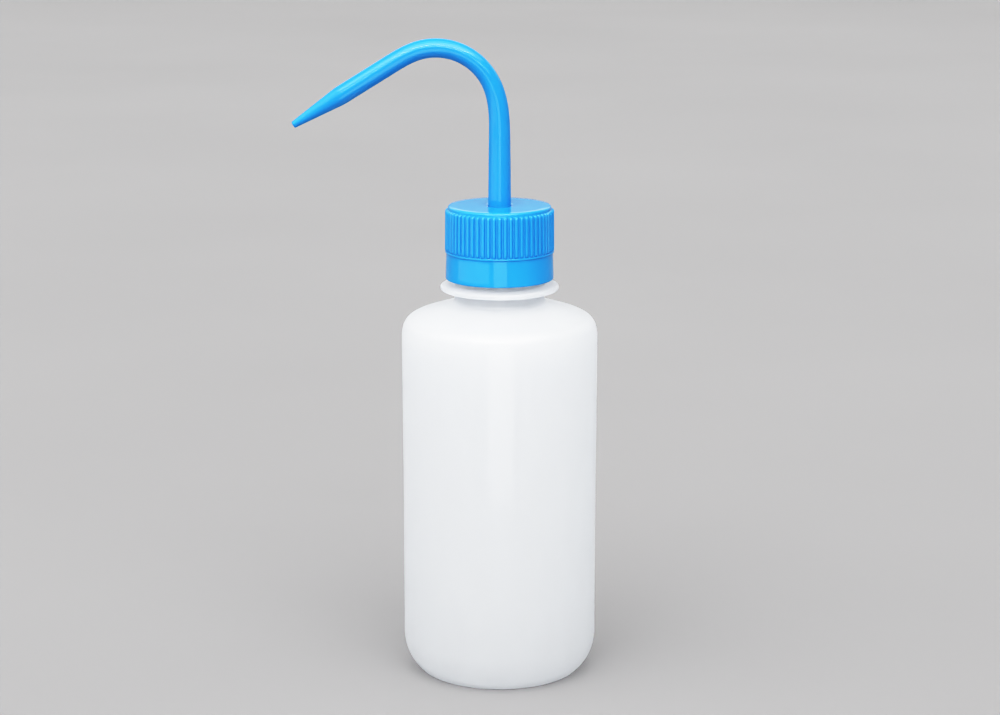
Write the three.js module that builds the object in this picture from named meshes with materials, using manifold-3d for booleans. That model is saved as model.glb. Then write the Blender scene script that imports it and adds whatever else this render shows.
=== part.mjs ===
// Squeeze wash bottle for a laboratory bench: a soft blow-moulded bottle, a ribbed screw cap, and a
// bent spout that the cap clamps on an inner plug, with a dip tube that reaches down to the base.
// Millimetres, +Z up. The bottle stands on z = 0, and the origin is at the middle of the whole
// object's footprint, so the bottle's own axis lies towards +X and the spout points to -X.

import * as THREE from 'three';
import { mergeVertices } from 'three/addons/utils/BufferGeometryUtils.js';
import Module from 'manifold-3d';

const wasm = await Module();
wasm.setup();

// Clearance between pieces that touch.
const GAP = 0.3;

// Bottle: base and heel.
const WALL = 1.1;
const HEEL_TOP_RADIUS = 37.5;
const HEEL_RADIUS = 18.8;
const FOOT_FILLET = 3.0;
const FOOT_FILLET_TURN = 42.8;
const FOOT_INNER_RADIUS = 25.0;
const PUNT_RADIUS = 21.0;
const PUNT_HEIGHT = 1.5;
const BASE_THICKNESS = 1.3;

// Bottle: body, waisted a little between the heel and the shoulder.
const WAIST_RADIUS = 37.43;
const SHOULDER_RADIUS = 37.7;
const BODY_TOP = 132.0;

// Bottle: the shoulder is three arcs, then a cone that rises to the neck.
const SHOULDER_ARCS = [
  { radius: 22, turn: 14, steps: 2 },
  { radius: 6, turn: 49, steps: 5 },
  { radius: 20, turn: 9, steps: 1 },
];
const CONE_RISE = 18;
const NECK_FILLET = 3.0;

// Bottle: neck and its support ring.
const NECK_RADIUS = 17.3;
const RING_RADIUS = 22.7;
const RING_BOTTOM = 151.5;
const RING_THICKNESS = 2.0;
const RING_EDGE = 0.8;
const RIM_HEIGHT = 180.0;
const RIM_BEVEL = 0.4;

// Screw thread shared by the neck and the cap: one start, right-handed.
const THREAD_PITCH = 4.2;
const THREAD_TURNS = 1.5;
const THREAD_BOTTOM = 164.0;
const THREAD_HEIGHT = 1.2;
const THREAD_FOOT = 2.0;
const THREAD_CREST = 1.0;
const THREAD_BITE = 0.4;
const THREAD_RUN_OUT = 0.04;
const THREAD_END_WIDTH = 0.3;
const THREAD_END_HEIGHT = 0.4;
const THREAD_STEPS_PER_TURN = 24;

// Screw cap.
const CAP_BOTTOM = 155.9;
const CAP_TOP = 184.1;
const CAP_BORE_RADIUS = 18.9;
const CAP_TOP_WALL = 1.8;
const CAP_ENTRY_BEVEL = 0.4;
const BAND_BOTTOM_RADIUS = 20.8;
const BAND_TOP_RADIUS = 20.5;
const BEAD_BOTTOM = 166.0;
const BEAD_TOP = 166.9;
const BEAD_RADIUS = 21.0;
const RIB_COUNT = 60;
const RIB_ROOT_RADIUS = 20.1;
const RIB_CREST_RADIUS = 20.95;
const RIB_TOP = 182.6;
const RIB_DRAFT = 0.3;
const RIB_CREST_SHARE = 0.4;
const RIB_FOOT_SHARE = 0.64;
const DISC_RADIUS = 19.8;
const DISC_EDGE = 0.6;
const DISC_STEP = 1.0;

// Spout: hollow and tapered, bent in the XZ plane, with a collar that the cap holds down.
const SPOUT_BOTTOM = 168.0;
const SOCKET_RADIUS = 4.9;
const COLLAR_RADIUS = 7.5;
const COLLAR_THICKNESS = 1.2;
const SPOUT_FOOT_RADIUS = 4.4;
const SPOUT_BEND_START_RADIUS = 4.14;
const SPOUT_BEND_RADIUS = 3.73;
const SPOUT_ARM_RADIUS = 3.7;
const TIP_RADIUS = 1.3;
const TIP_BEVEL = 0.2;
const BEND_START = 209.4;
const BEND_CURVE_RADIUS = 23.1;
const BEND_EASE_IN = 23.1;
const BEND_ROUND = 31.4;
const BEND_EASE_OUT = 12.3;
const ARM_LENGTH = 22.0;
const TIP_LENGTH = 21.1;
const SPOUT_WALL = 1.2;
const TIP_BORE_RADIUS = 0.7;
const BEND_STEP = 3.4;

// Dip tube.
const TUBE_RADIUS = 3.5;
const TUBE_BORE_RADIUS = 2.5;
const TUBE_BOTTOM = 18.0;

// Inner plug: a hat-shaped seal that sits in the mouth of the bottle.
const PLUG_SKIRT_BOTTOM = 172.0;
const PLUG_SKIRT_WALL = 1.2;
const PLUG_FLANGE_RADIUS = 17.2;
const PLUG_WEB = 1.5;

// Facets round the turned pieces.
const BOTTLE_SIDES = 48;
const CAP_SIDES = 60;
const PLUG_SIDES = 36;
const TUBE_SIDES = 20;

// Heights and radii that follow from the sizes above.
const CAP_UNDERSIDE = CAP_TOP - CAP_TOP_WALL;
const COLLAR_TOP = CAP_UNDERSIDE - GAP;
const COLLAR_BOTTOM = COLLAR_TOP - COLLAR_THICKNESS;
const SPOUT_BORE_BOTTOM = COLLAR_BOTTOM - 0.5;
const TUBE_TOP = SPOUT_BORE_BOTTOM - GAP;
const NECK_BORE_RADIUS = NECK_RADIUS - WALL;
const BEND_END = BEND_START + BEND_EASE_IN + BEND_ROUND + BEND_EASE_OUT;
const TIP_START = BEND_END + ARM_LENGTH;
const TIP_END = TIP_START + TIP_LENGTH;

const radians = THREE.MathUtils.degToRad;

// An outline in the (radius, height) half-plane, walked like a turtle: the heading is in degrees,
// 0 points away from the axis and 90 points up.
class Outline {
  constructor(radius, height, heading) {
    this.points = [new THREE.Vector2(radius, height)];
    this.heading = heading;
  }

  get end() {
    return this.points[this.points.length - 1];
  }

  lineTo(radius, height) {
    this.points.push(new THREE.Vector2(radius, height));
    return this;
  }

  // Straight on along the heading until the given radius.
  straightToRadius(radius) {
    const { x, y } = this.end;
    const rise = (radius - x) * Math.tan(radians(this.heading));
    return this.lineTo(radius, y + rise);
  }

  // A round stretch. A positive turn is to the left, a negative one to the right.
  arc(radius, turn, steps) {
    const side = Math.sign(turn);
    const start = radians(this.heading);
    const { x, y } = this.end;
    for (let i = 1; i <= steps; i += 1) {
      const angle = start + radians(turn) * (i / steps);
      const dx = side * radius * (Math.sin(angle) - Math.sin(start));
      const dy = side * radius * (Math.cos(start) - Math.cos(angle));
      this.lineTo(x + dx, y + dy);
    }
    this.heading += turn;
    return this;
  }

  // A shallow curve to the given point that passes the given radius half way up.
  waistTo(radius, height, midRadius, steps) {
    const { x, y } = this.end;
    const pull = 2 * midRadius - (x + radius) / 2;
    const curve = new THREE.QuadraticBezierCurve(
      this.end.clone(),
      new THREE.Vector2(pull, (y + height) / 2),
      new THREE.Vector2(radius, height),
    );
    curve.getPoints(steps).slice(1).forEach((point) => this.lineTo(point.x, point.y));
    return this;
  }
}

// A closed body turned about +Z from an outline that runs up the outside and down the inside.
function turned(points, sides) {
  return new THREE.LatheGeometry(points, sides).rotateX(Math.PI / 2);
}

function closedOutline(points) {
  return [...points, points[0].clone()];
}

// Geometry with shared vertices and no triangle that has shrunk to a line on the axis.
function welded(geometry) {
  const bare = geometry.clone();
  bare.deleteAttribute('normal');
  bare.deleteAttribute('uv');
  const merged = mergeVertices(bare, 1e-4);
  const corners = merged.index.array;
  const kept = [];
  for (let i = 0; i < corners.length; i += 3) {
    const [a, b, c] = [corners[i], corners[i + 1], corners[i + 2]];
    if (a !== b && b !== c && c !== a) {
      kept.push(a, b, c);
    }
  }
  merged.setIndex(kept);
  return merged;
}

function solidOf(geometry) {
  const mesh = welded(geometry);
  return new wasm.Manifold(new wasm.Mesh({
    numProp: 3,
    vertProperties: Float32Array.from(mesh.attributes.position.array),
    triVerts: Uint32Array.from(mesh.index.array),
  }));
}

function geometryOf(solid) {
  const mesh = solid.getMesh();
  const geometry = new THREE.BufferGeometry();
  geometry.setAttribute('position', new THREE.BufferAttribute(mesh.vertProperties, 3));
  geometry.setIndex(new THREE.BufferAttribute(mesh.triVerts, 1));
  return geometry;
}

// A helical ridge: a straight bar wound round +Z. Its foot is sunk into the wall it stands on, and it
// gets narrower and lower towards each end.
function threadRidge(footRadius, crestRadius, bottom) {
  const bar = new THREE.BoxGeometry(1, 1, 1, THREAD_STEPS_PER_TURN * THREAD_TURNS, 1, 1);
  const spots = bar.attributes.position;
  for (let i = 0; i < spots.count; i += 1) {
    const along = spots.getX(i) + 0.5;
    const atCrest = spots.getY(i) > 0;
    const fullness = Math.min(1, Math.min(along, 1 - along) / THREAD_RUN_OUT);
    const narrowing = THREE.MathUtils.lerp(THREAD_END_WIDTH, 1, fullness);
    const lowering = THREE.MathUtils.lerp(THREAD_END_HEIGHT, 1, fullness);
    const width = (atCrest ? THREAD_CREST : THREAD_FOOT) * narrowing;
    const crest = THREE.MathUtils.lerp(footRadius, crestRadius, lowering);
    const radius = atCrest ? crest : footRadius;
    const angle = 2 * Math.PI * THREAD_TURNS * along;
    const height = bottom + THREAD_PITCH * THREAD_TURNS * along + spots.getZ(i) * width;
    spots.setXYZ(i, radius * Math.cos(angle), radius * Math.sin(angle), height);
  }
  return bar;
}

// Winding the bar with its crest towards the axis keeps its triangles facing out. With its crest away
// from the axis they face in, so that ridge has every triangle turned over.
function turnedOver(geometry) {
  const corners = geometry.index.array;
  for (let i = 0; i < corners.length; i += 3) {
    const swap = corners[i];
    corners[i] = corners[i + 1];
    corners[i + 1] = swap;
  }
  return geometry;
}

// The bottle's wall from its standing ring to its neck, set in from the outer surface.
function bodyWall(inset, detail) {
  const footRadius = HEEL_TOP_RADIUS - HEEL_RADIUS
    + (HEEL_RADIUS - FOOT_FILLET) * Math.sin(radians(FOOT_FILLET_TURN));
  const wall = new Outline(footRadius, inset, 0);
  wall.arc(FOOT_FILLET - inset, FOOT_FILLET_TURN, detail);
  wall.arc(HEEL_RADIUS - inset, 90 - FOOT_FILLET_TURN, 2 + detail);
  wall.waistTo(SHOULDER_RADIUS - inset, BODY_TOP, WAIST_RADIUS - inset, 4);
  for (const { radius, turn, steps } of SHOULDER_ARCS) {
    wall.arc(radius - inset, turn, steps);
  }
  const filletRadius = NECK_FILLET + inset;
  const coneHeading = 180 - CONE_RISE;
  const filletDepth = filletRadius * (1 - Math.sin(radians(coneHeading)));
  wall.straightToRadius(NECK_RADIUS - inset + filletDepth);
  wall.arc(filletRadius, 90 - coneHeading, 1 + detail);
  return wall.points;
}

function bottleGeometry() {
  const outside = bodyWall(0, 2);
  const inside = bodyWall(WALL, 1);
  const ringTop = RING_BOTTOM + RING_THICKNESS;
  const ring = new Outline(RING_RADIUS - RING_EDGE, RING_BOTTOM, 0);
  ring.arc(RING_EDGE, 90, 3);
  ring.lineTo(RING_RADIUS, ringTop - RING_EDGE);
  ring.arc(RING_EDGE, 90, 3);
  const floor = PUNT_HEIGHT + BASE_THICKNESS;
  const points = [
    new THREE.Vector2(0, PUNT_HEIGHT),
    new THREE.Vector2(PUNT_RADIUS, PUNT_HEIGHT),
    new THREE.Vector2(FOOT_INNER_RADIUS, 0),
    ...outside,
    new THREE.Vector2(NECK_RADIUS, RING_BOTTOM),
    ...ring.points,
    new THREE.Vector2(NECK_RADIUS, ringTop),
    new THREE.Vector2(NECK_RADIUS, RIM_HEIGHT - RIM_BEVEL),
    new THREE.Vector2(NECK_RADIUS - RIM_BEVEL, RIM_HEIGHT),
    new THREE.Vector2(NECK_BORE_RADIUS, RIM_HEIGHT),
    ...inside.reverse(),
    new THREE.Vector2(FOOT_INNER_RADIUS, WALL),
    new THREE.Vector2(PUNT_RADIUS, floor),
    new THREE.Vector2(0, floor),
  ];
  const ridge = threadRidge(NECK_RADIUS - THREAD_BITE, NECK_RADIUS + THREAD_HEIGHT, THREAD_BOTTOM);
  const body = solidOf(turned(points, BOTTLE_SIDES));
  return geometryOf(body.add(solidOf(turnedOver(ridge))));
}

// The ribbed grip: a toothed ring, drafted so that it narrows towards the top. The shares say how much
// of a rib's pitch its crest and its foot take up.
function ribGeometry() {
  const corners = [
    { at: -RIB_FOOT_SHARE / 2, radius: RIB_ROOT_RADIUS },
    { at: -RIB_CREST_SHARE / 2, radius: RIB_CREST_RADIUS },
    { at: RIB_CREST_SHARE / 2, radius: RIB_CREST_RADIUS },
    { at: RIB_FOOT_SHARE / 2, radius: RIB_ROOT_RADIUS },
  ];
  const outline = [];
  for (let rib = 0; rib < RIB_COUNT; rib += 1) {
    for (const { at, radius } of corners) {
      const angle = (2 * Math.PI * (rib + at)) / RIB_COUNT;
      outline.push(new THREE.Vector2(radius * Math.cos(angle), radius * Math.sin(angle)));
    }
  }
  const height = RIB_TOP - BEAD_TOP;
  const shape = new THREE.Shape(outline);
  const coreRadius = (CAP_BORE_RADIUS + RIB_ROOT_RADIUS) / 2;
  shape.holes.push(new THREE.Path().absarc(0, 0, coreRadius, 0, 2 * Math.PI, true));
  const grip = new THREE.ExtrudeGeometry(shape, {
    depth: height,
    bevelEnabled: false,
    curveSegments: CAP_SIDES / 2,
  });
  const spots = grip.attributes.position;
  for (let i = 0; i < spots.count; i += 1) {
    const share = 1 - (RIB_DRAFT / RIB_CREST_RADIUS) * (spots.getZ(i) / height);
    spots.setXY(i, spots.getX(i) * share, spots.getY(i) * share);
  }
  return grip.translate(0, 0, BEAD_TOP);
}

function capGeometry() {
  const holeRadius = SPOUT_FOOT_RADIUS + GAP;
  const holeBevel = 0.4;
  const rimBevel = 0.3;
  const beadEdge = (BEAD_TOP - BEAD_BOTTOM) / 3;
  const disc = new Outline(DISC_RADIUS, CAP_TOP - DISC_EDGE, 90);
  disc.arc(DISC_EDGE, 90, 3);
  const points = [
    new THREE.Vector2(CAP_BORE_RADIUS + CAP_ENTRY_BEVEL, CAP_BOTTOM),
    new THREE.Vector2(BAND_BOTTOM_RADIUS - rimBevel, CAP_BOTTOM),
    new THREE.Vector2(BAND_BOTTOM_RADIUS, CAP_BOTTOM + rimBevel),
    new THREE.Vector2(BAND_TOP_RADIUS, BEAD_BOTTOM),
    new THREE.Vector2(BEAD_RADIUS, BEAD_BOTTOM + beadEdge),
    new THREE.Vector2(BEAD_RADIUS, BEAD_TOP - beadEdge),
    new THREE.Vector2(RIB_ROOT_RADIUS + 0.2, BEAD_TOP),
    new THREE.Vector2(RIB_ROOT_RADIUS - 0.2, CAP_TOP - DISC_STEP),
    new THREE.Vector2(DISC_RADIUS, CAP_TOP - DISC_STEP),
    ...disc.points,
    new THREE.Vector2(holeRadius + holeBevel, CAP_TOP),
    new THREE.Vector2(holeRadius, CAP_TOP - holeBevel),
    new THREE.Vector2(holeRadius, CAP_UNDERSIDE),
    new THREE.Vector2(CAP_BORE_RADIUS, CAP_UNDERSIDE),
    new THREE.Vector2(CAP_BORE_RADIUS, CAP_BOTTOM + CAP_ENTRY_BEVEL),
  ];
  const shell = solidOf(turned(closedOutline(points), CAP_SIDES));
  const ridge = threadRidge(
    CAP_BORE_RADIUS + THREAD_BITE,
    CAP_BORE_RADIUS - THREAD_HEIGHT + 0.1,
    THREAD_BOTTOM - THREAD_PITCH / 2,
  );
  return geometryOf(shell.add(solidOf(ribGeometry())).add(solidOf(ridge)));
}

// How far the spout has turned from straight up, in radians, at a distance along its centreline.
// The curvature eases in, holds and eases out again.
function spoutTurn(distance) {
  const tightest = 1 / BEND_CURVE_RADIUS;
  const easeIn = THREE.MathUtils.clamp(distance - BEND_START, 0, BEND_EASE_IN);
  const roundStart = BEND_START + BEND_EASE_IN;
  const round = THREE.MathUtils.clamp(distance - roundStart, 0, BEND_ROUND);
  const easeOut = THREE.MathUtils.clamp(distance - roundStart - BEND_ROUND, 0, BEND_EASE_OUT);
  const turnIn = (easeIn * easeIn) / (2 * BEND_EASE_IN);
  const turnOut = easeOut - (easeOut * easeOut) / (2 * BEND_EASE_OUT);
  return tightest * (turnIn + round + turnOut);
}

// The centreline is straight up the axis, so that distance equals height, until the bend starts.
function spoutCentre(distance) {
  const centre = new THREE.Vector3(0, 0, Math.min(distance, BEND_START));
  const slices = Math.ceil(Math.max(0, distance - BEND_START) / 0.25);
  const slice = (distance - BEND_START) / slices;
  for (let i = 0; i < slices; i += 1) {
    const turn = spoutTurn(BEND_START + slice * (i + 0.5));
    centre.x -= Math.sin(turn) * slice;
    centre.z += Math.cos(turn) * slice;
  }
  return centre;
}

// Radii of the spout by distance along its centreline, joined by straight tapers.
const SPOUT_TAPER = [
  { at: COLLAR_TOP, radius: SPOUT_FOOT_RADIUS },
  { at: BEND_START, radius: SPOUT_BEND_START_RADIUS },
  { at: BEND_START + BEND_EASE_IN, radius: SPOUT_BEND_RADIUS },
  { at: BEND_END, radius: SPOUT_ARM_RADIUS },
  { at: TIP_START, radius: SPOUT_ARM_RADIUS },
  { at: TIP_END, radius: TIP_RADIUS },
];

function spoutRadius(distance) {
  const next = Math.max(1, SPOUT_TAPER.findIndex(({ at }) => at >= distance));
  const [low, high] = [SPOUT_TAPER[next - 1], SPOUT_TAPER[next]];
  return THREE.MathUtils.mapLinear(distance, low.at, high.at, low.radius, high.radius);
}

function spoutBore(distance) {
  const parallel = spoutRadius(distance) - SPOUT_WALL;
  const toTip = Math.max(0, (distance - TIP_START) / TIP_LENGTH);
  return THREE.MathUtils.lerp(parallel, TIP_BORE_RADIUS, toTip);
}

// Distances at which the spout's walls get a ring of vertices.
function spoutStations() {
  const bendSteps = Math.round((BEND_END - BEND_START) / BEND_STEP);
  const stations = [];
  for (let i = 0; i <= bendSteps; i += 1) {
    stations.push(THREE.MathUtils.lerp(BEND_START, BEND_END, i / bendSteps));
  }
  stations.push(TIP_START);
  return stations;
}

function spoutGeometry() {
  const socketBore = TUBE_RADIUS + GAP;
  const stations = spoutStations();
  const points = [
    new THREE.Vector2(SOCKET_RADIUS, SPOUT_BOTTOM),
    new THREE.Vector2(SOCKET_RADIUS, COLLAR_BOTTOM),
    new THREE.Vector2(COLLAR_RADIUS, COLLAR_BOTTOM),
    new THREE.Vector2(COLLAR_RADIUS, COLLAR_TOP),
    new THREE.Vector2(SPOUT_FOOT_RADIUS, COLLAR_TOP),
    ...stations.map((at) => new THREE.Vector2(spoutRadius(at), at)),
    new THREE.Vector2(TIP_RADIUS, TIP_END - TIP_BEVEL),
    new THREE.Vector2(TIP_RADIUS - TIP_BEVEL, TIP_END),
    new THREE.Vector2(TIP_BORE_RADIUS, TIP_END),
    ...stations.reverse().map((at) => new THREE.Vector2(spoutBore(at), at)),
    new THREE.Vector2(spoutBore(COLLAR_TOP), SPOUT_BORE_BOTTOM),
    new THREE.Vector2(socketBore, SPOUT_BORE_BOTTOM),
    new THREE.Vector2(socketBore, SPOUT_BOTTOM),
  ];
  const spout = turned(closedOutline(points), TUBE_SIDES);
  const spots = spout.attributes.position;
  for (let i = 0; i < spots.count; i += 1) {
    const distance = spots.getZ(i);
    const turn = spoutTurn(distance);
    const centre = spoutCentre(distance);
    const across = spots.getX(i);
    spots.setX(i, centre.x + across * Math.cos(turn));
    spots.setZ(i, centre.z + across * Math.sin(turn));
  }
  return spout;
}

function dipTubeGeometry() {
  const points = [
    new THREE.Vector2(TUBE_BORE_RADIUS, TUBE_BOTTOM),
    new THREE.Vector2(TUBE_RADIUS, TUBE_BOTTOM),
    new THREE.Vector2(TUBE_RADIUS, TUBE_TOP),
    new THREE.Vector2(TUBE_BORE_RADIUS, TUBE_TOP),
  ];
  return turned(closedOutline(points), TUBE_SIDES);
}

function plugGeometry() {
  const skirtRadius = NECK_BORE_RADIUS - GAP;
  const skirtInner = skirtRadius - PLUG_SKIRT_WALL;
  const top = COLLAR_TOP;
  const webBottom = top - PLUG_WEB;
  const wellRadius = COLLAR_RADIUS + GAP;
  const wellFloor = COLLAR_BOTTOM - GAP;
  const boreRadius = SOCKET_RADIUS + GAP;
  const bossRadius = wellRadius + PLUG_WEB;
  const points = [
    new THREE.Vector2(skirtRadius, PLUG_SKIRT_BOTTOM),
    new THREE.Vector2(skirtRadius, RIM_HEIGHT + GAP),
    new THREE.Vector2(PLUG_FLANGE_RADIUS, RIM_HEIGHT + GAP),
    new THREE.Vector2(PLUG_FLANGE_RADIUS, top),
    new THREE.Vector2(wellRadius, top),
    new THREE.Vector2(wellRadius, wellFloor),
    new THREE.Vector2(boreRadius, wellFloor),
    new THREE.Vector2(boreRadius, wellFloor - PLUG_WEB),
    new THREE.Vector2(bossRadius, wellFloor - PLUG_WEB),
    new THREE.Vector2(bossRadius, webBottom),
    new THREE.Vector2(skirtInner, webBottom),
    new THREE.Vector2(skirtInner, PLUG_SKIRT_BOTTOM),
  ];
  return turned(closedOutline(points), PLUG_SIDES);
}

const MATERIALS = {
  bottle: { color: 0xe9eef2, roughness: 0.42, metalness: 0 },
  plug: { color: 0xf2f3f1, roughness: 0.5, metalness: 0 },
  cap: { color: 0x2aa2ee, roughness: 0.22, metalness: 0 },
  spout: { color: 0x2f9fee, roughness: 0.25, metalness: 0 },
  tube: { color: 0xe6eef4, roughness: 0.4, metalness: 0 },
};

function piece(name, geometry, material) {
  const mesh = new THREE.Mesh(geometry, new THREE.MeshStandardMaterial(material));
  mesh.name = name;
  return mesh;
}

// The spout that can swivel in the closure, with its dip tube.
const delivery = new THREE.Group();
delivery.add(piece('spout', spoutGeometry(), MATERIALS.spout));
delivery.add(piece('dip_tube', dipTubeGeometry(), MATERIALS.tube));

// Everything that comes off the bottle when the cap is unscrewed.
const closure = new THREE.Group();
closure.add(piece('inner_plug', plugGeometry(), MATERIALS.plug));
closure.add(piece('screw_cap', capGeometry(), MATERIALS.cap));
closure.add(delivery);

// Everything that stands on the bottle's own axis. The spout reaches out past the body, so that axis
// is moved off the middle of the footprint.
const upright = new THREE.Group();
upright.add(piece('bottle', bottleGeometry(), MATERIALS.bottle));
upright.add(closure);
const footprint = new THREE.Box3().setFromObject(upright).getCenter(new THREE.Vector3());
upright.position.x = -footprint.x;

const washBottle = new THREE.Group();
washBottle.add(upright);

export default washBottle;
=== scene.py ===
import math

import bmesh
import bpy
import numpy as np
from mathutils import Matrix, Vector


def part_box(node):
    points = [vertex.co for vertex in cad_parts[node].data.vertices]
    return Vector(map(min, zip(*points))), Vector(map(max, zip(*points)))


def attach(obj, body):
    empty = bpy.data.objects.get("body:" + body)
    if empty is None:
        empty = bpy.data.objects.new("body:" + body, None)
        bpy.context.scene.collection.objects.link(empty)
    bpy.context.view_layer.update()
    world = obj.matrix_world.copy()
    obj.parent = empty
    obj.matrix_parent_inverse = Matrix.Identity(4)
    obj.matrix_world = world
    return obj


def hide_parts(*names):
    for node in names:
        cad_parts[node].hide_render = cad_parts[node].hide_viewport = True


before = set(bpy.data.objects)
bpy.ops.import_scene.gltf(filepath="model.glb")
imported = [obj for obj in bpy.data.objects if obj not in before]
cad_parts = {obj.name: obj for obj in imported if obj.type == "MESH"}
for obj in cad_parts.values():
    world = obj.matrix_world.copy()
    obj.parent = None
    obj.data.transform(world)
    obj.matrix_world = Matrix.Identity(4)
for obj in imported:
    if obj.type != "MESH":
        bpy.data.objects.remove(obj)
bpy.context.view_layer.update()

# A squeeze wash bottle: milky bottle, blue ribbed cap, blue bent spout, dip tube and inner plug.
# Lengths are in millimetres until a mesh is made. Heights are above the bench.
MM = 0.001

# The bottle's axis and the levels that the frame sets.
TUBE_LOW, TUBE_HIGH = (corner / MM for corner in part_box("dip_tube"))
CAP_LOW, CAP_HIGH = (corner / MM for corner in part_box("screw_cap"))
PLUG_LOW, PLUG_HIGH = (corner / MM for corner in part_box("inner_plug"))
SPOUT_LOW, SPOUT_HIGH = (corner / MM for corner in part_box("spout"))
BOTTLE_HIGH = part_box("bottle")[1] / MM
AXIS_X = (TUBE_LOW.x + TUBE_HIGH.x) / 2
CAP_BOTTOM, CAP_TOP = CAP_LOW.z, CAP_HIGH.z
RIM_HEIGHT = BOTTLE_HIGH.z
SHOULDER_RADIUS = BOTTLE_HIGH.y
# The clearance between pieces that slide or turn in each other.
GAP = 0.3
# Vertices closer than this, in metres, become one.
MERGE_DISTANCE = 1e-7

# Bottle. The shoulder's arcs are each a radius, a turn in degrees and a number of steps.
WALL = 1.1
HEEL_TOP_RADIUS = 37.5
HEEL_RADIUS = 18.8
FOOT_FILLET = 3.0
FOOT_TURN = 42.8
FOOT_INNER_RADIUS = 25.0
PUNT_RADIUS = 21.0
PUNT_HEIGHT = 1.5
BASE_THICKNESS = 1.3
WAIST_RADIUS = 37.43
BODY_TOP = 132.0
SHOULDER_ARCS = ((22, 14, 8), (6, 49, 14), (20, 9, 5))
CONE_RISE = 18
NECK_FILLET = 1.6
NECK_RADIUS = 17.3
RING_RADIUS = 22.7
RING_BOTTOM = 151.5
RING_TOP = 153.5
# The blown wall's unevenness, and the heights over which it fades in and out.
SAG_DEPTH = 0.12
SAG_STARTS = (4, 22)
SAG_ENDS = (122, 142)
BOTTLE_COLUMNS = 152
SEAM_HEIGHT = 0.09
SEAM_HALF_WIDTH = 0.35
SEAM_FROM_RADIUS = 25.0
# Columns beside a parting line, in half widths of it, and the last pair, as an angle. Even
# columns closer to the line than the clearance are left out.
SEAM_STEPS = (0.7, 1.4, 2.4)
SEAM_LAST_STEP = 0.055
SEAM_CLEARANCE = 0.09
WELD_HEIGHT = 0.5
WELD_HALF_WIDTH = 0.6
WELD_HALF_LENGTH = 14.0

# Screw thread. Its ridge is full up to the crest's half width and gone at the foot's half width,
# and it fades in and out over the run-out, which is in turns.
THREAD_PITCH = 4.2
THREAD_TURNS = 1.5
THREAD_BOTTOM = 164.0
THREAD_HEIGHT = 1.2
THREAD_CREST = 0.425
THREAD_FOOT = 1.0
THREAD_RUN_OUT = 0.06
THREAD_MARGIN = 1.3

# Cap.
CAP_BORE_RADIUS = 18.9
CAP_UNDERSIDE = CAP_TOP - 1.8
BAND_BOTTOM_RADIUS = 20.8
BAND_TOP_RADIUS = 20.5
BEAD_BOTTOM = 166.0
BEAD_TOP = 166.9
BEAD_RADIUS = 20.88
RIB_COUNT = 60
# A rib's height across half its pitch, from its crest (0) to the middle of the groove (0.5).
RIB_SECTION = ((0.0, 1.0), (0.18, 0.97), (0.24, 0.84), (0.3, 0.25), (0.35, 0.02), (0.5, 0.0))
RIB_ROOT_RADIUS = 20.0
RIB_HEIGHT = 0.93
RIB_DRAFT = 0.15
RIB_TOP = 182.7
RIB_ROUNDING = 0.55
RIB_FOOT = 0.25
RIB_FOOT_SHARE = 0.6
DISC_RADIUS = 19.8
DISC_STEP = 1.0
DISC_EDGE = 0.8
HOLE_RADIUS = 4.52

# Spout.
SPOUT_BOTTOM = SPOUT_LOW.z
SOCKET_RADIUS = 4.9
COLLAR_RADIUS = SPOUT_HIGH.y
COLLAR_TOP = CAP_UNDERSIDE - GAP
COLLAR_BOTTOM = COLLAR_TOP - 1.2
BORE_BOTTOM = COLLAR_BOTTOM - 0.5
FOOT_RADIUS = 4.4
BEND_START_RADIUS = 4.12
BEND_RADIUS = 3.63
ARM_RADIUS = 3.66
TIP_RADIUS = 1.3
TIP_BORE = 0.7
TIP_GROOVE_DEPTH = 0.08
TIP_GROOVE_HALF_WIDTH = 0.3
SPOUT_WALL = 1.2
SPOUT_COLUMNS = 64
STATION_STEP = 0.8
BEND_START = 209.4
BEND_CURVE = 23.1
BEND_EASE_IN = 23.1
BEND_ROUND = 31.4
BEND_EASE_OUT = 12.3
BEND_END = BEND_START + BEND_EASE_IN + BEND_ROUND + BEND_EASE_OUT
TIP_START = BEND_END + 22.0
TIP_END = TIP_START + 21.05
CENTRE_STEP = 0.1

# Dip tube and plug.
TUBE_WALL = 1.0
TUBE_COLUMNS = 48
PLUG_WEB = 1.5
PLUG_SKIRT_WALL = 1.2
PLUG_COLUMNS = 96


class Outline:
    """An outline in the (radius, height) half-plane, walked with a heading in degrees."""

    def __init__(self, radius, height, heading=0.0):
        self.points = [(radius, height)]
        self.heading = heading

    def line(self, radius, height, steps):
        r0, h0 = self.points[-1]
        for i in range(1, steps + 1):
            t = i / steps
            self.points.append((r0 + (radius - r0) * t, h0 + (height - h0) * t))

    def line_to_radius(self, radius, steps):
        """A straight line along the heading, up to a radius."""
        r0, h0 = self.points[-1]
        rise = (radius - r0) * math.tan(math.radians(self.heading))
        self.line(radius, h0 + rise, steps)

    def arc(self, radius, turn, steps):
        """An arc that starts along the heading. A turn above 0 is to the left."""
        side = math.copysign(1, turn)
        start = math.radians(self.heading)
        r0, h0 = self.points[-1]
        for i in range(1, steps + 1):
            angle = start + math.radians(turn) * i / steps
            dr = side * radius * (math.sin(angle) - math.sin(start))
            dh = side * radius * (math.cos(start) - math.cos(angle))
            self.points.append((r0 + dr, h0 + dh))
        self.heading += turn

    def waist(self, radius, height, middle, steps):
        """A shallow curve up to a radius and height, through another radius halfway."""
        r0, h0 = self.points[-1]
        pull = 2 * middle - (r0 + radius) / 2
        for i in range(1, steps + 1):
            t = i / steps
            r = (1 - t) ** 2 * r0 + 2 * t * (1 - t) * pull + t * t * radius
            self.points.append((r, h0 + (height - h0) * t))


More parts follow.
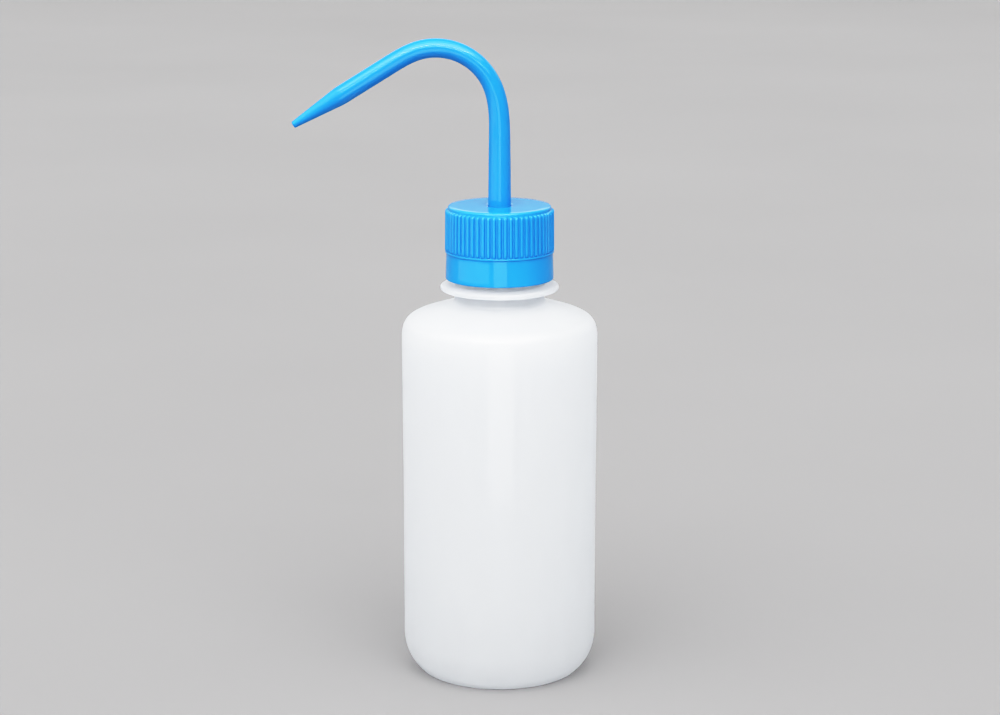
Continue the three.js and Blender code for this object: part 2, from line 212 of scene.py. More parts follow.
def split_long(points, closed, longest):
    """The points as (x, y), with more of them where two neighbours are farther apart than longest."""
    split = [points[0]]
    for point in points[1:] + ([points[0]] if closed else []):
        start = split[-1].copy()
        parts = max(1, math.ceil((point - start).length / longest))
        for k in range(1, parts + 1):
            split.append(start.lerp(point, k / parts))
    if closed:
        split.pop()
    return [(point.x, point.y) for point in split]


def rounded(corners, closed, steps=5, longest=2.5):
    """Corner points (radius, height, fillet) joined by straight lines, each corner filleted.

    Straight stretches longer than the given length are split, so that faces stay near square."""
    spots = [Vector(corner[:2]) for corner in corners]
    fillets = [corner[2] for corner in corners]
    count = len(corners)
    points = []
    for i in range(count):
        here = spots[i]
        if fillets[i] == 0 or (not closed and i in (0, count - 1)):
            points.append(here)
            continue
        back = (spots[i - 1] - here).normalized()
        ahead = (spots[(i + 1) % count] - here).normalized()
        half = back.angle(ahead) / 2
        reach = fillets[i] / math.tan(half)
        middle = here + (back + ahead).normalized() * (fillets[i] / math.sin(half))
        first = here + back * reach - middle
        last = here + ahead * reach - middle
        sweep = first.angle_signed(last)
        for k in range(steps + 1):
            angle = -sweep * k / steps
            spoke = Vector((
                first.x * math.cos(angle) - first.y * math.sin(angle),
                first.x * math.sin(angle) + first.y * math.cos(angle),
            ))
            points.append(middle + spoke)
    return split_long(points, closed, longest)


def mesh_object(name, points, faces):
    """An object with smooth faces that all point outwards, from points in millimetres."""
    mesh = bpy.data.meshes.new(name)
    mesh.from_pydata([tuple(p * MM for p in point) for point in points], [], faces)
    work = bmesh.new()
    work.from_mesh(mesh)
    bmesh.ops.remove_doubles(work, verts=work.verts, dist=MERGE_DISTANCE)
    bmesh.ops.recalc_face_normals(work, faces=work.faces)
    work.to_mesh(mesh)
    work.free()
    mesh.shade_smooth()
    thing = bpy.data.objects.new(name, mesh)
    bpy.context.scene.collection.objects.link(thing)
    return thing


def evenly(count):
    """So many angles evenly round a circle."""
    return [2 * math.pi * i / count for i in range(count)]


def turned(name, outline, angles, place=None, closed=True):
    """A closed body turned about the bottle's axis.

    place(radius, height, angle) gives the point (x, y, z); without it the body is plain round.
    An open outline starts and ends on the axis."""
    rows, columns = len(outline), len(angles)
    points = []
    for radius, height in outline:
        for angle in angles:
            if place:
                points.append(place(radius, height, angle))
            else:
                x = AXIS_X + radius * math.cos(angle)
                points.append((x, radius * math.sin(angle), height))
    faces = []
    for row in range(rows if closed else rows - 1):
        low = row * columns
        high = ((row + 1) % rows) * columns
        for column in range(columns):
            side = (column + 1) % columns
            faces.append((low + column, low + side, high + side, high + column))
    return mesh_object(name, points, faces)


def smooth_step(value, low, high):
    """0 up to low, 1 from high on, and a smooth ramp between."""
    t = min(1.0, max(0.0, (value - low) / (high - low)))
    return t * t * (3 - 2 * t)


def thread_height(height, angle, bottom):
    """Height of the screw thread's ridge, from 0 to 1, at a place on the wall."""
    best = 0.0
    for lap in (0, 1):
        along = angle / (2 * math.pi) + lap
        if along > THREAD_TURNS:
            continue
        off = abs(height - bottom - THREAD_PITCH * along)
        run_out = min(along, THREAD_TURNS - along) / THREAD_RUN_OUT
        ridge = 1 - smooth_step(off, THREAD_CREST, THREAD_FOOT)
        best = max(best, ridge * min(1.0, run_out))
    return best


# ---------------------------------------------------------------- bottle

def body_wall(inset, detail):
    """The bottle's wall from its foot to its neck, set in from the outer surface."""
    foot = HEEL_TOP_RADIUS - HEEL_RADIUS
    foot += (HEEL_RADIUS - FOOT_FILLET) * math.sin(math.radians(FOOT_TURN))
    wall = Outline(foot, inset)
    wall.arc(FOOT_FILLET - inset, FOOT_TURN, detail)
    wall.arc(HEEL_RADIUS - inset, 90 - FOOT_TURN, 2 * detail)
    wall.waist(SHOULDER_RADIUS - inset, BODY_TOP, WAIST_RADIUS - inset, 4 * detail)
    for radius, turn, steps in SHOULDER_ARCS:
        wall.arc(radius - inset, turn, steps)
    fillet = NECK_FILLET + inset
    heading = 180 - CONE_RISE
    depth = fillet * (1 - math.sin(math.radians(heading)))
    wall.line_to_radius(NECK_RADIUS - inset + depth, detail)
    wall.arc(fillet, 90 - heading, detail)
    return wall.points


def bottle_outline():
    """The bottle's section, from the middle of its base out, up, and back down the inside."""
    floor = PUNT_HEIGHT + BASE_THICKNESS
    bore = NECK_RADIUS - WALL
    base = rounded([
        (0, PUNT_HEIGHT, 0),
        (PUNT_RADIUS, PUNT_HEIGHT, 4),
        (FOOT_INNER_RADIUS, 0, 2),
        (FOOT_INNER_RADIUS + 3, 0, 0),
    ], closed=False)
    neck = rounded([
        (NECK_RADIUS, RING_BOTTOM - 1.2, 0),
        (NECK_RADIUS, RING_BOTTOM + 0.2, 0.5),
        (RING_RADIUS, RING_BOTTOM, 0.75),
        (RING_RADIUS, RING_TOP - 0.15, 0.75),
        (NECK_RADIUS, RING_TOP + 0.25, 0.5),
        (NECK_RADIUS, RING_TOP + 1.2, 0),
    ], closed=False, longest=1.2)
    thread_top = THREAD_BOTTOM + THREAD_PITCH * THREAD_TURNS + THREAD_MARGIN
    finish = Outline(NECK_RADIUS, RING_TOP + 1.2, 90)
    finish.line(NECK_RADIUS, THREAD_BOTTOM - THREAD_MARGIN, steps=6)
    finish.line(NECK_RADIUS, thread_top, steps=30)
    finish.line(NECK_RADIUS, RIM_HEIGHT - 1.0, steps=5)
    rim = rounded([
        (NECK_RADIUS, RIM_HEIGHT - 1.0, 0),
        (NECK_RADIUS, RIM_HEIGHT, 0.4),
        (bore, RIM_HEIGHT, 0.4),
        (bore, RIM_HEIGHT - 2.0, 0),
    ], closed=False)
    outside = body_wall(0, detail=12)
    inside = list(reversed(body_wall(WALL, detail=6)))
    floor_edge = rounded([
        (FOOT_INNER_RADIUS + 3, WALL, 0),
        (FOOT_INNER_RADIUS, WALL + 0.2, 2),
        (PUNT_RADIUS, floor, 4),
        (0, floor, 0),
    ], closed=False)
    return base + outside + neck + finish.points[1:-1] + rim + inside + floor_edge


def sag(height, angle):
    """How far the blown wall sinks in at a place on the body. It fades out at both ends."""
    body = smooth_step(height, *SAG_STARTS) * (1 - smooth_step(height, *SAG_ENDS))
    share = 0.5 + 0.25 * math.sin(2 * angle + 0.7) * math.sin(height / 21)
    share += 0.25 * math.sin(3 * angle + 2.1) * math.sin(height / 34 + 1)
    return SAG_DEPTH * body * share


def bottle_spot(radius, height, angle):
    """The blow-moulded wall: threaded neck, a slight unevenness, the mould's fine parting line at
    each side and the pinched weld across the base."""
    if abs(radius - NECK_RADIUS) < 0.01:
        radius += THREAD_HEIGHT * thread_height(height, angle, THREAD_BOTTOM)
    radius -= sag(height, angle)
    x, y = radius * math.cos(angle), radius * math.sin(angle)
    if radius > SEAM_FROM_RADIUS and height < RING_BOTTOM - 1:
        ridge = SEAM_HEIGHT * math.exp(-((y / SEAM_HALF_WIDTH) ** 2))
        x += math.copysign(min(ridge, max(0.0, SHOULDER_RADIUS - 0.02 - radius)), x)
    if height == PUNT_HEIGHT and abs(x) < WELD_HALF_LENGTH:
        height -= WELD_HEIGHT * math.exp(-((y / WELD_HALF_WIDTH) ** 2))
    return AXIS_X + x, y, height


def bottle_columns():
    """Even columns, with more of them beside the two parting lines."""
    near = [side * step * SEAM_HALF_WIDTH / WAIST_RADIUS for side in (-1, 1) for step in SEAM_STEPS]
    near += [0, -SEAM_LAST_STEP, SEAM_LAST_STEP]
    angles = [angle for angle in evenly(BOTTLE_COLUMNS) if abs(math.sin(angle)) > SEAM_CLEARANCE]
    angles += [middle + step for middle in (0, math.pi) for step in near]
    return sorted(angle % (2 * math.pi) for angle in angles)


def make_bottle():
    return turned("bottle_shell", bottle_outline(), bottle_columns(), bottle_spot, closed=False)


# ---------------------------------------------------------------- cap

def rib_columns():
    """The angles of the cap's columns of vertices, close together at the corners of each rib."""
    offsets = [off for off, height in RIB_SECTION]
    across = sorted([-off for off in offsets[1:-1]] + offsets)
    return [2 * math.pi * (rib + off) / RIB_COUNT for rib in range(RIB_COUNT) for off in across]


def rib_profile(angle):
    """Height of the ribbed grip, from 0 in a groove to 1 on a rib."""
    turn = angle * RIB_COUNT / (2 * math.pi)
    off = abs(turn - round(turn))
    return float(np.interp(off, *zip(*RIB_SECTION)))


def cap_outline():
    """The cap's section, from its bore round the bottom edge, up the outside and down the bore."""
    grip = rounded([
        (BEAD_RADIUS - 0.55, BEAD_TOP, 0),
        (RIB_ROOT_RADIUS, BEAD_TOP + 0.15, 0.15),
        (RIB_ROOT_RADIUS - RIB_DRAFT, RIB_TOP - 0.6, 0),
        (RIB_ROOT_RADIUS - RIB_DRAFT, RIB_TOP, 0.12),
        (DISC_RADIUS, CAP_TOP - DISC_STEP, 0.15),
    ], closed=False, longest=0.9)
    outer = rounded([
        (CAP_BORE_RADIUS, CAP_BOTTOM + 4, 0),
        (CAP_BORE_RADIUS, CAP_BOTTOM, 0.4),
        (BAND_BOTTOM_RADIUS, CAP_BOTTOM, 0.35),
        (BAND_TOP_RADIUS, BEAD_BOTTOM, 0.12),
        (BEAD_RADIUS, BEAD_BOTTOM + 0.1, 0.3),
        (BEAD_RADIUS, BEAD_TOP - 0.05, 0.3),
        (BEAD_RADIUS - 0.5, BEAD_TOP, 0),
    ], closed=False, longest=1.6)
    top = rounded([
        (DISC_RADIUS, CAP_TOP - DISC_STEP, 0),
        (DISC_RADIUS, CAP_TOP, DISC_EDGE),
        (HOLE_RADIUS, CAP_TOP, 0.12),
        (HOLE_RADIUS, CAP_UNDERSIDE, 0.2),
        (CAP_BORE_RADIUS, CAP_UNDERSIDE, 0.5),
        (CAP_BORE_RADIUS, CAP_UNDERSIDE - 3, 0),
    ], closed=False, steps=3, longest=2.6)
    thread_low = THREAD_BOTTOM - THREAD_PITCH / 2 - THREAD_MARGIN
    bore = Outline(CAP_BORE_RADIUS, CAP_UNDERSIDE - 3.3)
    thread_top = thread_low + THREAD_PITCH * THREAD_TURNS + 2 * THREAD_MARGIN
    bore.line(CAP_BORE_RADIUS, thread_top, steps=4)
    bore.line(CAP_BORE_RADIUS, thread_low, steps=22)
    return outer[:-1] + grip + top[1:] + bore.points


def rib_rounding(height):
    """A rib's share of its full height near its rounded top."""
    down = min(1.0, max(0.0, (RIB_TOP - height) / RIB_ROUNDING))
    return math.sqrt(1 - (1 - down) ** 2)


def cap_spot(radius, height, angle):
    """The ribs stand out of the grip and round off at their tops; the thread stands into the bore."""
    on_grip = BEAD_TOP + 0.05 < height < CAP_TOP - DISC_STEP and radius > DISC_RADIUS
    if on_grip:
        foot = max(RIB_FOOT_SHARE, smooth_step(height, BEAD_TOP, BEAD_TOP + RIB_FOOT))
        radius += RIB_HEIGHT * rib_profile(angle) * rib_rounding(height) * foot
    if abs(radius - CAP_BORE_RADIUS) < 0.01:
        bottom = THREAD_BOTTOM - THREAD_PITCH / 2
        radius -= (THREAD_HEIGHT - 0.1) * thread_height(height, angle, bottom)
    return AXIS_X + radius * math.cos(angle), radius * math.sin(angle), height


def make_cap():
    return turned("ribbed_cap", cap_outline(), rib_columns(), cap_spot)


# ---------------------------------------------------------------- spout

def spout_turn(distance):
    """How far the spout has turned from straight up, in radians, at a distance along it."""
    ease_in = min(BEND_EASE_IN, max(0.0, distance - BEND_START))
    steady = min(BEND_ROUND, max(0.0, distance - BEND_START - BEND_EASE_IN))
    ease_out = min(BEND_EASE_OUT, max(0.0, distance - BEND_START - BEND_EASE_IN - BEND_ROUND))
    turn_in = ease_in ** 2 / (2 * BEND_EASE_IN)
    turn_out = ease_out - ease_out ** 2 / (2 * BEND_EASE_OUT)
    return (turn_in + steady + turn_out) / BEND_CURVE


def centre_line():
    """Points a small step apart along the spout's middle, from where its bend starts."""
    line = [(0.0, BEND_START)]
    for index in range(int((TIP_END - BEND_START) / CENTRE_STEP) + 2):
        turn = spout_turn(BEND_START + CENTRE_STEP * (index + 0.5))
        x, z = line[-1]
        line.append((x - CENTRE_STEP * math.sin(turn), z + CENTRE_STEP * math.cos(turn)))
    return line


CENTRE_LINE = centre_line()


def spout_centre(distance):
    """The place (x, z) of the spout's middle at a distance along it."""
    if distance <= BEND_START:
        return 0.0, distance
    along = (distance - BEND_START) / CENTRE_STEP
    low = int(along)
    (x0, z0), (x1, z1) = CENTRE_LINE[low], CENTRE_LINE[low + 1]
    share = along - low
    return x0 + (x1 - x0) * share, z0 + (z1 - z0) * share


# The spout's outer radius at distances along it.
TAPER_AT = (COLLAR_TOP, BEND_START, BEND_START + BEND_EASE_IN, BEND_END, TIP_START, TIP_END)
TAPER_RADII = (FOOT_RADIUS, BEND_START_RADIUS, BEND_RADIUS, ARM_RADIUS, ARM_RADIUS, TIP_RADIUS)


def spout_radius(distance):
    return float(np.interp(distance, TAPER_AT, TAPER_RADII))


def spout_bore(distance):
    """The bore's radius: an even wall, which thins towards the tip's small hole."""
    parallel = spout_radius(distance) - SPOUT_WALL
    to_tip = max(0.0, (distance - TIP_START) / (TIP_END - TIP_START))
    return parallel + (TIP_BORE - parallel) * to_tip


def spout_outline():
    """The spout as a straight tube: socket, collar, tube and tip, and back down the bore."""
    socket_bore = (TUBE_HIGH.x - TUBE_LOW.x) / 2 + GAP
    foot = rounded([
        (socket_bore, COLLAR_BOTTOM - 4, 0),
        (socket_bore, SPOUT_BOTTOM, 0.3),
        (SOCKET_RADIUS, SPOUT_BOTTOM, 0.4),
        (SOCKET_RADIUS, COLLAR_BOTTOM, 0.2),
        (COLLAR_RADIUS, COLLAR_BOTTOM, 0.3),
        (COLLAR_RADIUS, COLLAR_TOP, 0.3),
        (FOOT_RADIUS, COLLAR_TOP, 0.15),
        (spout_radius(COLLAR_TOP + 2), COLLAR_TOP + 2, 0),
    ], closed=False)
    stations = np.arange(COLLAR_TOP + 3, TIP_END - 0.6, STATION_STEP)
    outer = [(spout_radius(at), float(at)) for at in stations]
    tip = rounded([
        (spout_radius(TIP_END - 0.5), TIP_END - 0.5, 0),
        (TIP_RADIUS, TIP_END, 0.28),
        (TIP_BORE, TIP_END, 0.2),
        (TIP_BORE, TIP_END - 0.5, 0),
    ], closed=False)
    inner = [(spout_bore(at), float(at)) for at in stations[::-2]]
    inner.append((spout_bore(COLLAR_TOP), BORE_BOTTOM))
    inner.append((socket_bore, BORE_BOTTOM))
    return foot + outer + tip + inner


def spout_spot(radius, distance, angle):
    """Bends the turned tube along its centreline. A fine groove marks where the tip's cone starts."""
    if radius > spout_bore(distance) + 0.3:
        off = (distance - TIP_START) / TIP_GROOVE_HALF_WIDTH
        radius -= TIP_GROOVE_DEPTH * math.exp(-(off ** 2))
    x, z = spout_centre(distance)
    turn = spout_turn(distance)
    across = radius * math.cos(angle)
    x = AXIS_X + x + across * math.cos(turn)
    return x, radius * math.sin(angle), z + across * math.sin(turn)


def make_spout():
    return turned("bent_spout", spout_outline(), evenly(SPOUT_COLUMNS), spout_spot)


# ---------------------------------------------------------------- dip tube and plug

def make_dip_tube():
    outer = (TUBE_HIGH.x - TUBE_LOW.x) / 2
    bore = outer - TUBE_WALL
    outline = rounded([
        (bore, TUBE_LOW.z, 0.2),
        (outer, TUBE_LOW.z, 0.3),
        (outer, TUBE_HIGH.z, 0.3),
        (bore, TUBE_HIGH.z, 0.2),
    ], closed=True, longest=6)
    return turned("suction_tube", outline, evenly(TUBE_COLUMNS))


def make_plug():
    """A hat-shaped seal: skirt in the mouth, flange on the rim, and a well for the spout's collar."""
    skirt = NECK_RADIUS - WALL - GAP
    flange = PLUG_HIGH.y
    well = COLLAR_RADIUS + GAP
    floor = COLLAR_BOTTOM - GAP
    outline = rounded([
        (skirt, PLUG_LOW.z, 0.4),
        (skirt, RIM_HEIGHT + GAP, 0.2),
        (flange, RIM_HEIGHT + GAP, 0.4),
        (flange, PLUG_HIGH.z, 0.4),
        (well, PLUG_HIGH.z, 0.3),
        (well, floor, 0.2),
        (SOCKET_RADIUS + GAP, floor, 0.2),
        (SOCKET_RADIUS + GAP, floor - PLUG_WEB, 0.2),
        (well + PLUG_WEB, floor - PLUG_WEB, 0.4),
        (well + PLUG_WEB, PLUG_HIGH.z - PLUG_WEB, 0.4),
        (skirt - PLUG_SKIRT_WALL, PLUG_HIGH.z - PLUG_WEB, 0.4),
        (skirt - PLUG_SKIRT_WALL, PLUG_LOW.z, 0.3),
    ], closed=True, longest=1.5)
    return turned("mouth_plug", outline, evenly(PLUG_COLUMNS))


# ---------------------------------------------------------------- materials

# Colours as pairs, which a cloudy noise blends.
MILK = ((0.885, 0.895, 0.908), (0.895, 0.903, 0.915))
CAP_BLUE = ((0.020, 0.242, 0.580), (0.024, 0.256, 0.600))
SPOUT_BLUE = ((0.018, 0.230, 0.560), (0.022, 0.242, 0.580))
PAPER_GREY = ((0.158, 0.157, 0.159), (0.166, 0.165, 0.167))


class Graph:
    """A node tree, with short calls to add and join nodes."""

    def __init__(self, tree):
        self.tree = tree

    def add(self, kind, **values):
        node = self.tree.nodes.new(kind)
        for key, value in values.items():
            setattr(node, key, value)
        return node

    def join(self, source, target):
        self.tree.links.new(source, target)


class Nodes(Graph):
    """A material's nodes."""

    def __init__(self, name):
        self.material = bpy.data.materials.new(name)
        self.material.use_nodes = True
        super().__init__(self.material.node_tree)
        self.tree.nodes.clear()
        self.output = self.add("ShaderNodeOutputMaterial")
        self.place = self.add("ShaderNodeTexCoord").outputs["Object"]

    def noise(self, scale, detail, stretch=(1, 1, 1)):
        """Noise at so many cells a metre, squeezed or drawn out along each axis."""
        mapping = self.add("ShaderNodeMapping")
        mapping.inputs["Scale"].default_value = stretch
        self.join(self.place, mapping.inputs["Vector"])
        noise = self.add("ShaderNodeTexNoise")
        noise.inputs["Scale"].default_value = scale
        noise.inputs["Detail"].default_value = detail
        self.join(mapping.outputs["Vector"], noise.inputs["Vector"])
        return noise.outputs["Fac"]

    def spread(self, value, low, high):
        """Maps a noise value, which is mostly from 0.3 to 0.7, onto a range."""
        node = self.add("ShaderNodeMapRange")
        node.inputs["From Min"].default_value = 0.3
        node.inputs["From Max"].default_value = 0.7
        node.inputs["To Min"].default_value = low
        node.inputs["To Max"].default_value = high
        self.join(value, node.inputs["Value"])
        return node.outputs["Result"]

    def blend_colours(self, value, colours):
        """Goes from the first of two colours to the second as the value goes from low to high."""
        first, second = colours
        node = self.add("ShaderNodeMix", data_type="RGBA")
        node.inputs["A"].default_value = (*first, 1)
        node.inputs["B"].default_value = (*second, 1)
        self.join(self.spread(value, 0, 1), node.inputs["Factor"])
        return node.outputs["Result"]

    def bump(self, value, distance, after=None):
        """A bump of the given height in metres, on top of the one before it, if any."""
        node = self.add("ShaderNodeBump")
        node.inputs["Distance"].default_value = distance
        self.join(value, node.inputs["Height"])
        if after:
            self.join(after, node.inputs["Normal"])
        return node.outputs["Normal"]


def polyethylene(name, see_through):
    """Milky low-density polyethylene. Light scatters in the wall and glows through it, and a
    share of it goes straight through, so that what is inside shows faintly."""
    n = Nodes(name)
    cloud = n.noise(55, 2, (1, 1, 0.35))
    colour = n.blend_colours(cloud, MILK)
    peel = n.bump(n.noise(1400, 1), 6e-7)
    relief = n.bump(n.noise(40, 1, (1, 1, 0.5)), 6e-6, after=peel)

    skin = n.add("ShaderNodeBsdfPrincipled")
    n.join(colour, skin.inputs["Base Color"])
    n.join(n.spread(n.noise(260, 4), 0.07, 0.1), skin.inputs["Roughness"])
    n.join(relief, skin.inputs["Normal"])
    # Higher than the plastic's own 1.5, because the skin is only a fifth of the wall's mix below.
    skin.inputs["IOR"].default_value = 2.6
    skin.inputs["Subsurface Weight"].default_value = 0.6
    skin.inputs["Subsurface Radius"].default_value = (1.0, 1.0, 1.0)
    skin.inputs["Subsurface Scale"].default_value = 0.003

    glow = n.add("ShaderNodeBsdfTranslucent")
    n.join(colour, glow.inputs["Color"])
    glow_share = 0.8
    wall = n.add("ShaderNodeMixShader")
    wall.inputs["Fac"].default_value = glow_share
    n.join(skin.outputs["BSDF"], wall.inputs[1])
    n.join(glow.outputs["BSDF"], wall.inputs[2])

    clear = n.add("ShaderNodeBsdfTransparent")
    clear.inputs["Color"].default_value = (0.98, 0.99, 1.0, 1)
    mix = n.add("ShaderNodeMixShader")
    n.join(n.spread(cloud, see_through * 0.9, see_through * 1.1), mix.inputs["Fac"])
    n.join(wall.outputs["Shader"], mix.inputs[1])
    n.join(clear.outputs["BSDF"], mix.inputs[2])
    n.join(mix.outputs["Shader"], n.output.inputs["Surface"])
    return n.material


def blue_plastic(name, blues, flow):
    """Glossy moulded polypropylene in sky blue, with faint flow marks and a fine skin."""
    n = Nodes(name)
    skin = n.add("ShaderNodeBsdfPrincipled")
    cloud = n.noise(120, 3, flow)
    n.join(n.blend_colours(cloud, blues), skin.inputs["Base Color"])
    n.join(n.spread(n.noise(700, 4), 0.05, 0.1), skin.inputs["Roughness"])
    skin.inputs["IOR"].default_value = 1.5
    skin.inputs["Subsurface Weight"].default_value = 0.05
    skin.inputs["Subsurface Radius"].default_value = (0.2, 0.6, 1.0)
    skin.inputs["Subsurface Scale"].default_value = 0.0008
    fine = n.bump(n.noise(2600, 2), 4e-7)
    wavy = n.bump(n.noise(180, 2, flow), 3e-6, after=fine)
    n.join(wavy, skin.inputs["Normal"])
    n.join(skin.outputs["BSDF"], n.output.inputs["Surface"])
    return n.material


def paper():
    """The bench: pale grey seamless paper."""
    n = Nodes("pale_paper")
    skin = n.add("ShaderNodeBsdfPrincipled")
    n.join(n.blend_colours(n.noise(2.2, 3), PAPER_GREY), skin.inputs["Base Color"])
    skin.inputs["Roughness"].default_value = 0.9
    n.join(skin.outputs["BSDF"], n.output.inputs["Surface"])
    return n.material


# ---------------------------------------------------------------- pieces

# What a light shines on, where it doesn't shine on everything.
PIECES = bpy.data.collections.new("pieces")
BENCH = bpy.data.collections.new("bench_only")


def fit_out(piece, node, body, material):
    """Puts a piece on its body in place of its CAD node."""
    piece.data.materials.append(material)
    PIECES.objects.link(piece)
    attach(piece, body)
    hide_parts(node)


BOTTLE_SKIN = polyethylene("milky_polyethylene", see_through=0.2)
PLUG_SKIN = polyethylene("natural_polyethylene", see_through=0.0)
TUBE_SKIN = polyethylene("tube_polyethylene", see_through=0.1)
CAP_SKIN = blue_plastic("cap_blue", CAP_BLUE, flow=(1, 1, 0.3))
SPOUT_SKIN = blue_plastic("spout_blue", SPOUT_BLUE, flow=(1, 1, 0.2))

fit_out(make_bottle(), "bottle", "bottle", BOTTLE_SKIN)
fit_out(make_plug(), "inner_plug", "closure", PLUG_SKIN)
fit_out(make_cap(), "screw_cap", "cap", CAP_SKIN)
fit_out(make_spout(), "spout", "delivery", SPOUT_SKIN)
fit_out(make_dip_tube(), "dip_tube", "delivery", TUBE_SKIN)


# ---------------------------------------------------------------- studio

def make_floor():
    reach = 12.0
    corners = [(-reach, -reach, 0), (reach, -reach, 0), (reach, reach, 0), (-reach, reach, 0)]
    mesh = bpy.data.meshes.new("bench")
    mesh.from_pydata(corners, [], [(0, 1, 2, 3)])
    mesh.materials.append(paper())
    bench = bpy.data.objects.new("bench", mesh)
    bpy.context.scene.collection.objects.link(bench)
    BENCH.objects.link(bench)


def soft_light(name, place, aim, size, brightness, shines_on=None):
    """A soft box. Given a collection, it lights that alone, and nothing else casts a shadow in it."""
    lamp = bpy.data.lights.new(name, "AREA")
    lamp.shape = "RECTANGLE"
    lamp.size, lamp.size_y = size
    lamp.energy = math.pi * lamp.size * lamp.size_y * brightness
    light = bpy.data.objects.new(name, lamp)
    light.location = place
    light.rotation_euler = (Vector(aim) - Vector(place)).to_track_quat("-Z", "Y").to_euler()
    light.visible_camera = False
    light.light_linking.receiver_collection = shines_on
    light.light_linking.blocker_collection = shines_on
    bpy.context.scene.collection.objects.link(light)


class Sky(Graph):
    """The room that lights the object: an even glow, and bright panels on a ceiling far above."""

    def __init__(self):
        self.world = bpy.data.worlds.new("studio")
        self.world.use_nodes = True
        super().__init__(self.world.node_tree)
        self.ground = self.tree.nodes["Background"]
        self.ground.inputs["Color"].default_value = (1.0, 0.995, 0.985, 1)
        direction = self.add("ShaderNodeSeparateXYZ")
        self.join(self.add("ShaderNodeTexCoord").outputs["Generated"], direction.inputs["Vector"])
        self.height = direction.outputs["Z"]
        above = self.sum_up("MAXIMUM", self.height, 0.02)
        self.across = self.sum_up("DIVIDE", direction.outputs["X"], above)
        self.along = self.sum_up("DIVIDE", direction.outputs["Y"], above)
        self.glow = None

    def sum_up(self, operation, first, second):
        """Arithmetic on two values, each a number or another node's output."""
        node = self.add("ShaderNodeMath", operation=operation)
        for value, target in zip((first, second), node.inputs):
            if isinstance(value, (int, float)):
                target.default_value = value
            else:
                self.join(value, target)
        return node.outputs["Value"]

    def edge(self, value, low, high):
        """A soft edge: 0 up to low, 1 from high on. With low above high, it goes the other way."""
        node = self.add("ShaderNodeMapRange", interpolation_type="SMOOTHSTEP")
        node.inputs["From Min"].default_value = low
        node.inputs["From Max"].default_value = high
        self.join(value, node.inputs["Value"])
        return node.outputs["Result"]

    def panel(self, x_range, y_range, soft, brightness):
        """A panel on a ceiling one unit up: the object is under (0, 0), the camera towards -Y."""
        shape = self.edge(self.height, 0.02, 0.06)
        for value, (low, high) in ((self.across, x_range), (self.along, y_range)):
            shape = self.sum_up("MULTIPLY", shape, self.edge(value, low - soft, low + soft))
            shape = self.sum_up("MULTIPLY", shape, self.edge(value, high + soft, high - soft))
        light = self.sum_up("MULTIPLY", shape, brightness)
        self.glow = self.sum_up("ADD", self.glow, light) if self.glow else light

    def light_up(self, room):
        """Makes this the scene's world, with an even glow of the room's brightness."""
        self.join(self.sum_up("ADD", self.glow, room), self.ground.inputs["Strength"])
        bpy.context.scene.world = self.world


# How the picture answers to light: contrast in the darks and a soft shoulder in the whites.
FILM_CONTRAST = 1.7
FILM_MIDDLE = 0.5
FILM_KNEE = 0.27
FILM_SPOTS = (0.1, 0.2, 0.3, 0.4, 0.5, 0.6, 0.75, 0.9, 1.1, 1.4, 1.8, 2.5)
FILM_END = 4.0


def film(light):
    """The picture's tone, up to 1, for an amount of light."""
    tone = FILM_MIDDLE * (light / FILM_MIDDLE) ** FILM_CONTRAST
    if tone > FILM_KNEE:
        room = 1 - FILM_KNEE
        tone = FILM_KNEE + room * (1 - math.exp((FILM_KNEE - tone) / room))
    return tone


def load_film():
    """Sets the scene's view curve to the film's answer."""
    view = bpy.context.scene.view_settings
    view.view_transform = "Standard"
    view.use_curve_mapping = True
    mapping = view.curve_mapping
    mapping.clip_max_x = FILM_END
    combined = 3
    curve = mapping.curves[combined]
    curve.points[1].location = (FILM_END, 1)
    for light in FILM_SPOTS:
        curve.points.new(light, film(light))
    for point in curve.points:
        point.handle_type = "AUTO_CLAMPED"
    mapping.update()


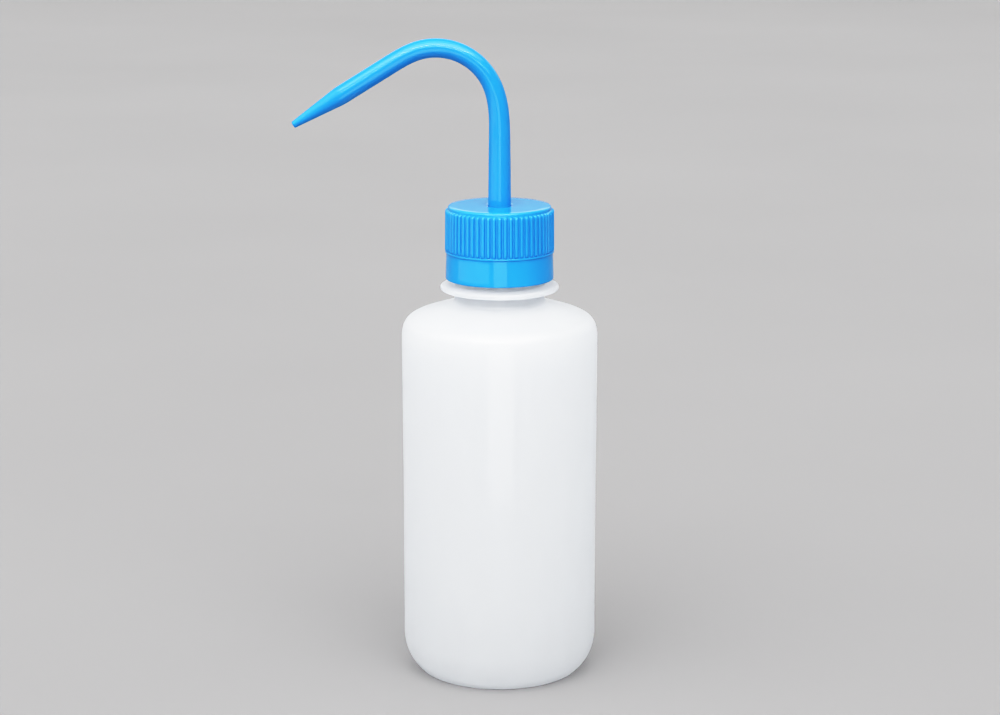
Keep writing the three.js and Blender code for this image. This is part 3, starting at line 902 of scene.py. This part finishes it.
def make_sky():
    """The panels: a range across, a range along, the width of the soft edge, and a brightness."""
    sky = Sky()
    # The wide box overhead, its brighter front half, and that half's bright front edge.
    sky.panel((-1.46, 1.1), (-1.08, 0.2), 0.04, 1.9)
    sky.panel((-0.9, 0.8), (-1.08, -0.3), 0.05, 3.0)
    sky.panel((-0.8, 0.8), (-1.11, -1.04), 0.01, 22.0)
    # A narrow strip lower down on the camera's side, for a fine highlight.
    sky.panel((-3.0, 2.0), (-2.46, -2.34), 0.02, 16.0)
    # Weak fill from the front, the left and the back.
    sky.panel((-3.5, 2.0), (-6.0, -1.2), 0.3, 0.8)
    sky.panel((-4.0, -1.6), (-2.0, 1.5), 0.3, 1.4)
    sky.panel((-3.5, 3.0), (1.2, 4.3), 0.3, 0.8)
    sky.light_up(0.62)


def make_lights():
    """Two cards for soft reflections on the bottle's side, a box near the camera, and a fill that
    keeps the shadow on the bench light. Places and sizes are in metres."""
    soft_light("low_card", (0.028, -0.3, 0.11), (0, 0, 0.11), (0.146, 0.22), 1.8, PIECES)
    soft_light("left_card", (-0.43, -0.26, 0.105), (0, 0, 0.105), (0.8, 0.1), 1.1, PIECES)
    soft_light("near_box", (-0.08, -0.62, 0.64), (AXIS_X * MM, 0, 0.12), (0.6, 0.32), 2.6)
    soft_light("floor_fill", (0, 0, 3), (0, 0, 0), (8, 8), 1.3, BENCH)


def make_camera():
    """The photograph's viewing angle: a long lens about a metre off, looking a little down."""
    picture_width = 1000
    lens_pixels = 2600
    pitch_down = 12.81
    right_of_axis = 0.15
    distance = 0.980
    height = 0.3473
    camera = bpy.data.cameras.new("camera")
    camera.sensor_width = 36
    camera.lens = camera.sensor_width * lens_pixels / picture_width
    camera.clip_start = 0.01
    eye = bpy.data.objects.new("camera", camera)
    eye.location = ((AXIS_X + right_of_axis) * MM, -distance, height)
    eye.rotation_euler = (math.radians(90 - pitch_down), 0, 0)
    bpy.context.scene.collection.objects.link(eye)
    bpy.context.scene.camera = eye


make_floor()
make_sky()
make_lights()
load_film()
make_camera()
